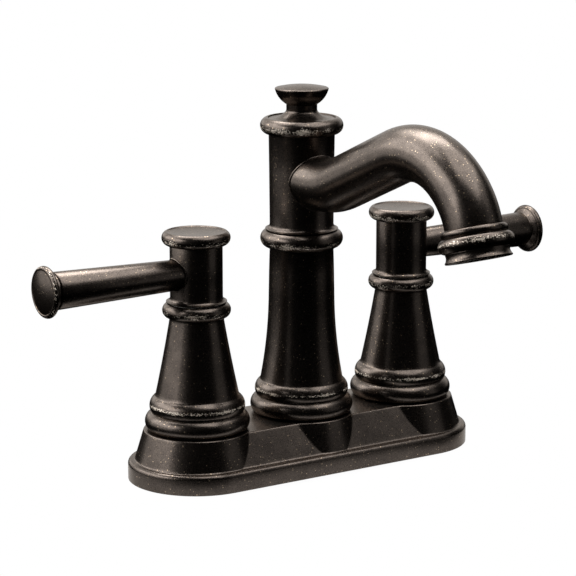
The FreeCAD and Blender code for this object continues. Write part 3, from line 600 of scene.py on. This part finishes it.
class FAUCET_OT_pillars(bpy.types.Operator):
    """Handle pillars: foot beads, a slender cone and the ring that the hub turns on"""
    bl_idname = "faucet.pillars"
    bl_label = "Handle Pillars"

    def execute(self, context):
        neck, bead, bore, step = 10.85, 3.0, 8.6, 60.0
        crest, top = PILLAR_TOP - bead, PILLAR_TOP - 0.03
        for side, x in PILLAR_AXES.items():
            profile, shoulder, start = beaded_foot(context.scene.faucet_plate)
            profile.line(shoulder - 0.35, start).arc(13.7, start + 15.9, neck, crest - bead, steps=24)
            profile.arc(neck + bead, crest, neck + 0.7, top, wear=0.95, peak=0.5)
            profile.line(bore, top).line(bore, step).line(FOOT_BORE, step - 15).close()
            piece(side + "_pillar", [turned(profile, x)], "base", [side + "_handle_pillar"])
        return {"FINISHED"}


class FAUCET_OT_hubs(bpy.types.Operator):
    """Turning hubs: a short drum with a flared foot and a rounded lip round the lever's socket"""
    bl_idname = "faucet.hubs"
    bl_label = "Handle Hubs"

    def execute(self, context):
        sizes = context.scene.faucet_handles
        hub, socket, bore = sizes.hub / MM, sizes.root / MM + 0.4, 5.1
        foot, top = HUB_FOOT + SHY, HUB_TOP - SHY
        for side, x in PILLAR_AXES.items():
            profile = Profile(bore, foot).line(hub + 1.6, foot).line(hub + 1.7, foot + 0.43, wear=0.3)
            profile.arc(hub + 0.5, foot + 0.93, hub, foot + 2.13, wear=0.2, steps=8)
            profile.line(hub, LEVER_AXIS - 0.9).line(hub, top).line(bore, top).close()
            outwards = -1 if side == "left" else 1
            lip = [(x + outwards * (math.sqrt(hub ** 2 - y ** 2) - 0.1), y, LEVER_AXIS + z)
                   for y, z in ring(socket, 72)]
            piece(side + "_hub", [turned(profile, x), swept(lip, 0.42, sides=12, closed=True)],
                  side + "_handle", [side + "_handle_hub"])
        return {"FINISHED"}


class FAUCET_OT_caps(bpy.types.Operator):
    """Hub caps: a beaded rim, a fine step and a shallow dish"""
    bl_idname = "faucet.caps"
    bl_label = "Hub Caps"

    def execute(self, context):
        hub, spigot, crown = context.scene.faucet_handles.hub / MM, 7.6, 12.2
        seat = HUB_TOP + SHY
        rim = seat + 5.55
        for side, x in PILLAR_AXES.items():
            profile = Profile(0, CAP_FOOT).line(spigot, CAP_FOOT).line(spigot, seat).line(hub, seat)
            profile.arc(hub + 3.2, seat + 3.05, crown, rim, wear=0.95, peak=0.48)
            profile.line(crown - 0.55, rim).line(crown - 0.8, rim - 0.35).dome(-0.5)
            piece(side + "_cap", [turned(profile, x)], side + "_handle", [side + "_handle_cap"])
        return {"FINISHED"}


class FAUCET_OT_levers(bpy.types.Operator):
    """Levers: a bar that swells outwards and ends in a rimmed, slightly domed disc"""
    bl_idname = "faucet.levers"
    bl_label = "Levers"

    def execute(self, context):
        sizes = context.scene.faucet_handles
        root, tip, reach, disc = (v / MM for v in (sizes.root, sizes.tip, sizes.reach, sizes.disc))
        tenon, end, neck, seat, shoulder = 2.8, 3.9, 6.7, 8.4, reach - 3.5
        for side, x in PILLAR_AXES.items():
            profile = Profile(0, end).line(tenon, end).line(tenon, seat - 0.1).line(root, seat)
            profile.line(root + (tip - root) * 0.5, (shoulder + seat) / 2)
            profile.line(tip, shoulder - 0.6).line(tip - 0.15, shoulder - 0.1, wear=0.3)
            profile.line(neck, shoulder).line(neck, shoulder + 0.9)
            profile.line(disc - 1.5, reach - 1.35)
            profile.arc(disc, reach, disc - 1.2, reach + 1.3, wear=0.9, peak=0.75, steps=12)
            profile.line(disc - 1.55, reach + 1.05).dome(1.23)
            turn = Matrix.Rotation(math.copysign(math.pi / 2, x), 4, "Y")
            lay = Matrix.Translation((x * MM, 0, LEVER_AXIS * MM)) @ turn
            piece(side + "_lever_bar", [turned(profile, place=lay, segments=96)],
                  side + "_handle", [side + "_lever"])
        return {"FINISHED"}


class FAUCET_OT_tower_base(bpy.types.Operator):
    """Tower base: foot beads, a trumpet flare and the ring that the upper half drops into"""
    bl_idname = "faucet.tower_base"
    bl_label = "Tower Base"

    def execute(self, context):
        sizes = context.scene.faucet_tower
        drum, bead = sizes.drum / MM, sizes.bead / MM
        waist, neck, bore, step = drum + 0.1, drum - 0.38, drum - 2.35, 40.0
        crest, top = TOWER_JOINT - 3.1, TOWER_JOINT - SHY
        profile, shoulder, start = beaded_foot(context.scene.faucet_plate)
        profile.line(shoulder - 0.2, start).arc(waist + 1.05, start + 16.6, waist, start + 34.28, steps=24)
        profile.line(drum - 0.1, 80).line(neck, crest - 4.0)
        profile.arc(drum + bead, crest, drum + 1.4, top, wear=1.0, peak=0.46)
        profile.line(bore, top).line(bore, step).line(FOOT_BORE, step - 2).close()
        piece("tower_trumpet", [turned(profile)], "base", ["tower_base"])
        return {"FINISHED"}


class FAUCET_OT_tower_body(bpy.types.Operator):
    """Tower body: flared foot, slightly swelling drum and the top ring round the roof"""
    bl_idname = "faucet.tower_body"
    bl_label = "Tower Body"

    def execute(self, context):
        sizes = context.scene.faucet_tower
        drum, bead = sizes.drum / MM, sizes.bead / MM
        neck, spigot, bore, recess = drum - 0.38, drum - 2.45, drum - 3.6, drum + 0.3
        joint, lip, top = TOWER_JOINT + SHY, TOWER_JOINT + 0.3, TOWER_TOP - SHY
        crest = context.scene.faucet_spout.height / MM + 22.25
        profile = Profile(bore, SPIGOT_FOOT).line(spigot, SPIGOT_FOOT).line(spigot, joint)
        profile.line(neck, joint).line(neck, lip).line(drum + 1.4, lip).line(neck + 1.9, lip + 0.4, wear=0.25)
        profile.arc(neck + 0.55, lip + 1.0, neck, lip + 2.35, steps=8)
        profile.line(neck + 0.03, 105).line(drum - 0.2, 122).line(drum, crest - bead)
        profile.arc(drum + bead, crest, drum + 1.0, top, wear=1.0, peak=0.46)
        profile.line(recess, top).line(recess, ROOF_FOOT).line(bore, ROOF_FOOT - 0.1).close()
        piece("tower_drum", [turned(profile)], "base", ["tower_body"])
        return {"FINISHED"}


class FAUCET_OT_roof(bpy.types.Operator):
    """Roof: the ogee cap that closes the tower"""
    bl_idname = "faucet.roof"
    bl_label = "Tower Roof"

    def execute(self, context):
        eave, neck, bore = context.scene.faucet_tower.drum / MM + 0.05, 6.45, 4.0
        foot, top = ROOF_FOOT + SHY, ROOF_TOP - SHY
        profile = Profile(bore, foot).line(eave, foot).line(eave, ROOF_FOOT + 0.5)
        profile.arc(8.74, ROOF_FOOT + 1.49, neck, ROOF_TOP - 0.5, steps=16)
        profile.line(neck, top).line(bore, top).close()
        piece("tower_ogee", [turned(profile)], "base", ["tower_roof"])
        return {"FINISHED"}


class FAUCET_OT_knob(bpy.types.Operator):
    """Lift knob: a collar, a flaring bowl and a softly domed top"""
    bl_idname = "faucet.knob"
    bl_label = "Lift Knob"

    def execute(self, context):
        bowl, collar, foot = context.scene.faucet_tower.knob / MM, 6.3, ROOF_TOP + SHY
        profile = Profile(2.45, foot).line(collar, foot).line(collar, foot + 2.38)
        profile.arc(bowl - 1.77, foot + 4.92, bowl, foot + 8.58, steps=14)
        profile.arc(bowl - 0.1, foot + 8.9, bowl - 0.5, foot + 9.1, wear=0.35, peak=0.5, steps=5).dome(1.18)
        piece("lift_knob_turned", [turned(profile)], "lift", ["lift_knob"])
        return {"FINISHED"}


def spout_path(sizes):
    """Points along the spout's axis in the plane X = 0, and the matrix that lays a piece on its outlet."""
    # Straight runs and bend radii from the tower outwards, in millimetres
    stub, sweep, climb, arch, drop = 16.1, 39.4, 37.3, 37.0, 26.7
    s, z, heading = 0.0, sizes.height / MM, 0.0
    points = []

    def run(length, steps):
        nonlocal s, z
        for _ in range(steps):
            s += length / steps * math.cos(heading)
            z += length / steps * math.sin(heading)
            points.append((0, -s, z))

    def bend(radius, angle):
        nonlocal heading
        steps = max(2, round(abs(math.degrees(angle)) / 2.5))
        chord = 2 * radius * math.sin(abs(angle) / steps / 2)
        for _ in range(steps):
            heading += angle / steps / 2
            run(chord, 1)
            heading += angle / steps / 2

    run(stub, 6)
    bend(sweep, sizes.rise)
    run(climb, 12)
    bend(arch, -(sizes.rise + math.pi / 2 - sizes.lean - sizes.turn))
    bend(drop, -sizes.turn)
    outwards = Vector((0, -math.cos(heading), math.sin(heading)))
    facing = outwards.to_track_quat("Z", "Y").to_matrix().to_4x4()
    return points, Matrix.Translation(Vector(points[-1]) * MM) @ facing


class FAUCET_OT_spout(bpy.types.Operator):
    """Spout: an arched tube with a blended root and a ringed collar at its outlet"""
    bl_idname = "faucet.spout"
    bl_label = "Spout"

    def execute(self, context):
        sizes = context.scene.faucet_spout
        radius = sizes.radius / MM
        path, lay = spout_path(sizes)
        tube = swept(path, radius, sides=96)
        # A thin bead hides the seam where the tube enters the drum
        wall = context.scene.faucet_tower.drum / MM - 0.16
        seam = []
        for rise, x in ring(radius, 96):
            seam.append((x * 1.005, -math.sqrt(wall ** 2 - x ** 2) - 0.05, sizes.height / MM + rise * 1.005))
        root = swept(seam, 0.45, sides=12, closed=True)
        bore, seat, mouth = radius - 2.1, 1.4, COLLAR_LENGTH - SHY
        collar = Profile(bore, 0.0).line(radius, 0.0)
        collar.arc(radius + 1.8, 1.5, radius + 1.1, 3.0, wear=0.3, peak=0.6, steps=12)
        collar.arc(radius + 3.5, 5.8, radius + 1.3, mouth, wear=1.0, peak=0.45, steps=20)
        collar.line(radius, mouth).line(radius, seat).line(bore, seat).close()
        piece("spout_arch", [tube, root, turned(collar, place=lay, segments=96)], "base", ["spout"])
        return {"FINISHED"}


class FAUCET_OT_aerator(bpy.types.Operator):
    """Aerator: the skirt screwed into the outlet and the woven screen across its mouth"""
    bl_idname = "faucet.aerator"
    bl_label = "Aerator"

    def execute(self, context):
        sizes = context.scene.faucet_spout
        radius = sizes.radius / MM
        _, lay = spout_path(sizes)
        thread, bore, lip = radius - 0.05, radius - 1.6, radius - 2.6
        inner, seat, mouth = 2.6, COLLAR_LENGTH + SHY, COLLAR_LENGTH + 3.8 - SHY
        skirt = Profile(bore, inner).line(thread, inner).line(thread, seat).line(radius + 1.3, seat)
        skirt.arc(radius + 1.15, seat + 1.88, radius + 1.9, mouth - 0.48, wear=0.4, peak=1.0, steps=10)
        skirt.line(radius + 1.6, mouth, wear=0.4)
        skirt.line(lip, mouth).line(lip, mouth - 0.98).line(bore, mouth - 0.98).close()
        piece("aerator_skirt", [turned(skirt, place=lay, segments=96)], "base", ["aerator_shell"])
        pitch, hole, wire = 1.2, bore - 0.1, 0.25
        lower, upper = mouth - 1.63, mouth - 1.28
        wires = []
        most = int(hole / pitch)
        for i in range(-most, most + 1):
            offset = i * pitch
            half = math.sqrt(hole ** 2 - offset ** 2)
            wires.append([(offset, -half, lower), (offset, half, lower)])
            wires.append([(-half, offset, upper), (half, offset, upper)])
        meshes = [swept(ends, wire, sides=8, slot="stainless") for ends in wires]
        for mesh in meshes:
            mesh.transform(lay)
        piece("aerator_mesh", meshes, "base", ["aerator_screen"], slot="stainless")
        return {"FINISHED"}


class FAUCET_OT_carried(bpy.types.Operator):
    """Gives every solid that is carried over its own finish"""
    bl_idname = "faucet.carried"
    bl_label = "Carried-over Parts"

    def execute(self, context):
        slots = {part["node"]: part["material_slot"] for part in frame["record"]["subparts"]}
        for node, solid in frame["nodes"].items():
            material = finish_of(slots[node])
            if not solid.material_slots:
                raise RuntimeError(node + " has no material slot")
            for place in solid.material_slots:
                place.material = material
        return {"FINISHED"}


class FAUCET_OT_stage(bpy.types.Operator):
    """Stage: white paper floor, white backdrop, soft lamps all round and the camera"""
    bl_idname = "faucet.stage"
    bl_label = "Stage"

    def lay_floor(self, settings):
        """Paper floor: white to the camera and to the metal, still darkened by the faucet's shadow."""
        material, tree = new_material("white_paper_floor")
        rays = add(tree, "ShaderNodeLightPath").outputs
        where = add(tree, "ShaderNodeTexCoord").outputs["Object"]
        grain = add(tree, "ShaderNodeTexNoise", {"Vector": where, "Scale": 0.9 / MM})
        relief = add(tree, "ShaderNodeBump", {"Height": grain, "Strength": 0.05, "Distance": 0.1 * MM})
        # The plate is about twice as long as it is deep, and so is the lit patch of paper round it;
        # beyond it the paper is black to the metal, so that the fronts keep their dark reflections
        slim = add(tree, "ShaderNodeVectorMath", {0: where, 1: (0.5, 1, 1)}, operation="MULTIPLY")
        beside = add(tree, "ShaderNodeVectorMath", {0: slim}, operation="LENGTH").outputs["Value"]
        near = add(tree, "ShaderNodeMapRange", {"Value": beside, "From Min": 45 * MM, "From Max": 55 * MM,
                                                "To Min": 1.0, "To Max": 0.0})
        tone = add(tree, "ShaderNodeMix", {"Factor": near, 6: (0, 0, 0, 1), 7: [*settings.floor, 1]},
                   data_type="RGBA")
        matte = add(tree, "ShaderNodeBsdfDiffuse", {"Color": tone.outputs[2], "Normal": relief})
        lit = add(tree, "ShaderNodeEmission", {"Color": (1, 1, 1, 1), "Strength": 1.0})
        fade = add(tree, "ShaderNodeMapRange", {"Value": beside, "From Min": 25 * MM, "From Max": 45 * MM,
                                                "To Min": settings.paper_glow, "To Max": 1.0})
        seen = add(tree, "ShaderNodeMath", {0: rays["Is Camera Ray"], 1: fade}, operation="MULTIPLY")
        metal = add(tree, "ShaderNodeMath", {0: rays["Is Glossy Ray"], 1: rays["Is Transmission Ray"]},
                    operation="MAXIMUM")
        mirrored = add(tree, "ShaderNodeMath", {0: metal, 1: near}, operation="MULTIPLY")
        share = add(tree, "ShaderNodeMath", {0: seen, 1: mirrored}, operation="MAXIMUM")
        paper = add(tree, "ShaderNodeMixShader", {0: share, 1: matte, 2: lit})
        add(tree, "ShaderNodeOutputMaterial", {"Surface": paper})
        floor = bpy.data.meshes.new("floor")
        # Half a metre of paper hides what is below the deck from every side
        rim = [(x, y, 0) for x, y in ring(0.5, 72)]
        floor.from_pydata(rim, [], [tuple(range(len(rim)))])
        floor.materials.append(material)
        ground = bpy.data.objects.new("floor", floor)
        ground.location.z = -SHY * MM
        bpy.context.scene.collection.objects.link(ground)

    def hang_backdrop(self, settings, back):
        """White backdrop behind the faucet, a dark room in front of it."""
        world = bpy.data.worlds.new("white_backdrop")
        world.use_nodes = True
        tree = world.node_tree
        tree.nodes.clear()
        rays = add(tree, "ShaderNodeLightPath").outputs
        ahead = add(tree, "ShaderNodeTexCoord").outputs["Generated"]
        facing = add(tree, "ShaderNodeVectorMath", {0: ahead, 1: -back}, operation="DOT_PRODUCT")
        behind = add(tree, "ShaderNodeMapRange", {"Value": facing.outputs["Value"], "From Min": 0.55,
                                                  "From Max": 0.8, "To Min": 0.0, "To Max": 1.0})
        metal = add(tree, "ShaderNodeMath", {0: rays["Is Glossy Ray"], 1: rays["Is Transmission Ray"]},
                    operation="MAXIMUM")
        height = add(tree, "ShaderNodeSeparateXYZ", {0: ahead}).outputs[2]
        raised = add(tree, "ShaderNodeMapRange", {"Value": height, "From Min": -0.05, "From Max": 0.1})
        wall = add(tree, "ShaderNodeMath", {0: raised, 1: behind}, operation="MULTIPLY")
        mirrored = add(tree, "ShaderNodeMath", {0: metal, 1: wall}, operation="MULTIPLY")
        seen = add(tree, "ShaderNodeMath", {0: rays["Is Camera Ray"], 1: mirrored}, operation="MAXIMUM")
        glow = add(tree, "ShaderNodeMapRange", {"Value": seen, "To Min": settings.room, "To Max": 1.0})
        light = add(tree, "ShaderNodeBackground", {"Color": (1, 1, 1, 1), "Strength": glow})
        add(tree, "ShaderNodeOutputWorld", {"Surface": light})
        bpy.context.scene.world = world

    def softbox(self, name, place, aim, width, height, power):
        lamp = bpy.data.lights.new(name, "AREA")
        lamp.shape, lamp.size, lamp.size_y = "RECTANGLE", width, height
        lamp.energy = power
        stand = bpy.data.objects.new(name, lamp)
        stand.location = place
        stand.rotation_euler = (aim - place).to_track_quat("-Z", "Y").to_euler()
        bpy.context.scene.collection.objects.link(stand)

    def set_lamps(self, settings, back, right):
        """Soft lamps 1.2 m off for the whole faucet and 0.45 m off for the spout's arch."""
        front = Vector((back.x, back.y, 0)).normalized()

        def around(swing, rise, distance):
            """A place seen from the faucet: degrees to the camera's right, degrees up, metres away."""
            swing, rise = math.radians(swing), math.radians(rise)
            return ((front * math.cos(swing) + right * math.sin(swing)) * math.cos(rise)
                    + Vector((0, 0, math.sin(rise)))) * distance

        # Name, degrees right of the camera, degrees up, width and height in metres, power
        for name, swing, rise, width, height, power in (
                ("softbox_left", -86, 32, 1.6, 0.6, settings.left),
                ("softbox_left_low", -86, 8, 1.6, 0.4, settings.left * 0.22),
                ("softbox_left_behind", -135, 28, 0.7, 0.8, settings.left * 0.15),
                ("strip_left", -42, 2, 0.2, 0.9, settings.strip),
                ("softbox_behind", -168, 64, 0.8, 0.4, settings.rear),
                ("softbox_right", 116, 55, 1.7, 0.6, settings.right),
                ("strip_right", 74, 12, 0.7, 1.2, settings.strip * 3.5)):
            self.softbox(name, around(swing, rise, 1.2), Vector((0, 0, 0.08)), width, height, power)
        arch = Vector((0, -0.075, 0.14))
        for name, swing, rise, width, height, power in (
                ("softbox_spout_left", -130, 54, 0.45, 0.32, settings.spout),
                ("softbox_spout_right", 84, 74, 0.5, 0.45, settings.spout * 1.2)):
            self.softbox(name, arch + around(swing, rise, 0.45), arch, width, height, power)

    def execute(self, context):
        settings = context.scene.faucet_stage
        azimuth, elevation = math.radians(-33.612), math.radians(12.226)
        back = Vector((math.sin(azimuth) * math.cos(elevation), -math.cos(azimuth) * math.cos(elevation),
                       math.sin(elevation)))
        right = Vector((math.cos(azimuth), math.sin(azimuth), 0))
        self.lay_floor(settings)
        self.hang_backdrop(settings, back)
        self.set_lamps(settings, back, right)

        lens = bpy.data.cameras.new("camera")
        lens.sensor_fit, lens.sensor_width = "AUTO", 36.0
        lens.lens = settings.lens
        lens.clip_start, lens.clip_end = 0.05, 50.0
        camera = bpy.data.objects.new("camera", lens)
        camera.location = Vector((-548.9, -815.7, 285.4)) * MM
        camera.rotation_mode = "QUATERNION"
        camera.rotation_quaternion = (-back).to_track_quat("-Z", "Y")
        context.scene.collection.objects.link(camera)
        context.scene.camera = camera
        context.scene.view_settings.view_transform = "Standard"
        return {"FINISHED"}


class FAUCET_PT_panel(bpy.types.Panel):
    """Lists the faucet's pieces and sizes in the sidebar"""
    bl_idname = "FAUCET_PT_panel"
    bl_label = "Basin Faucet"
    bl_space_type = "VIEW_3D"
    bl_region_type = "UI"
    bl_category = "Faucet"

    def draw(self, context):
        scene = context.scene
        for group in GROUPS:
            box = self.layout.box()
            for name in GROUPS[group].__annotations__:
                box.prop(getattr(scene, group), name)
        for operator in OPERATORS:
            self.layout.operator(operator.bl_idname)


GROUPS = {"faucet_plate": FaucetPlate, "faucet_handles": FaucetHandles, "faucet_tower": FaucetTower,
          "faucet_spout": FaucetSpout, "faucet_finish": FaucetFinish, "faucet_stage": FaucetStage}
OPERATORS = [FAUCET_OT_deck_plate, FAUCET_OT_pillars, FAUCET_OT_hubs, FAUCET_OT_caps, FAUCET_OT_levers,
             FAUCET_OT_tower_base, FAUCET_OT_tower_body, FAUCET_OT_roof, FAUCET_OT_knob, FAUCET_OT_spout,
             FAUCET_OT_aerator, FAUCET_OT_carried, FAUCET_OT_stage]


def register():
    for kind in [*GROUPS.values(), *OPERATORS, FAUCET_PT_panel]:
        bpy.utils.register_class(kind)
    for name, group in GROUPS.items():
        setattr(bpy.types.Scene, name, PointerProperty(type=group))


def unregister():
    for name in GROUPS:
        delattr(bpy.types.Scene, name)
    for kind in reversed([*GROUPS.values(), *OPERATORS, FAUCET_PT_panel]):
        bpy.utils.unregister_class(kind)


def main():
    register()
    for operator in OPERATORS:
        category, name = operator.bl_idname.split(".")
        getattr(getattr(bpy.ops, category), name)()


if __name__ == "__main__":
    main()
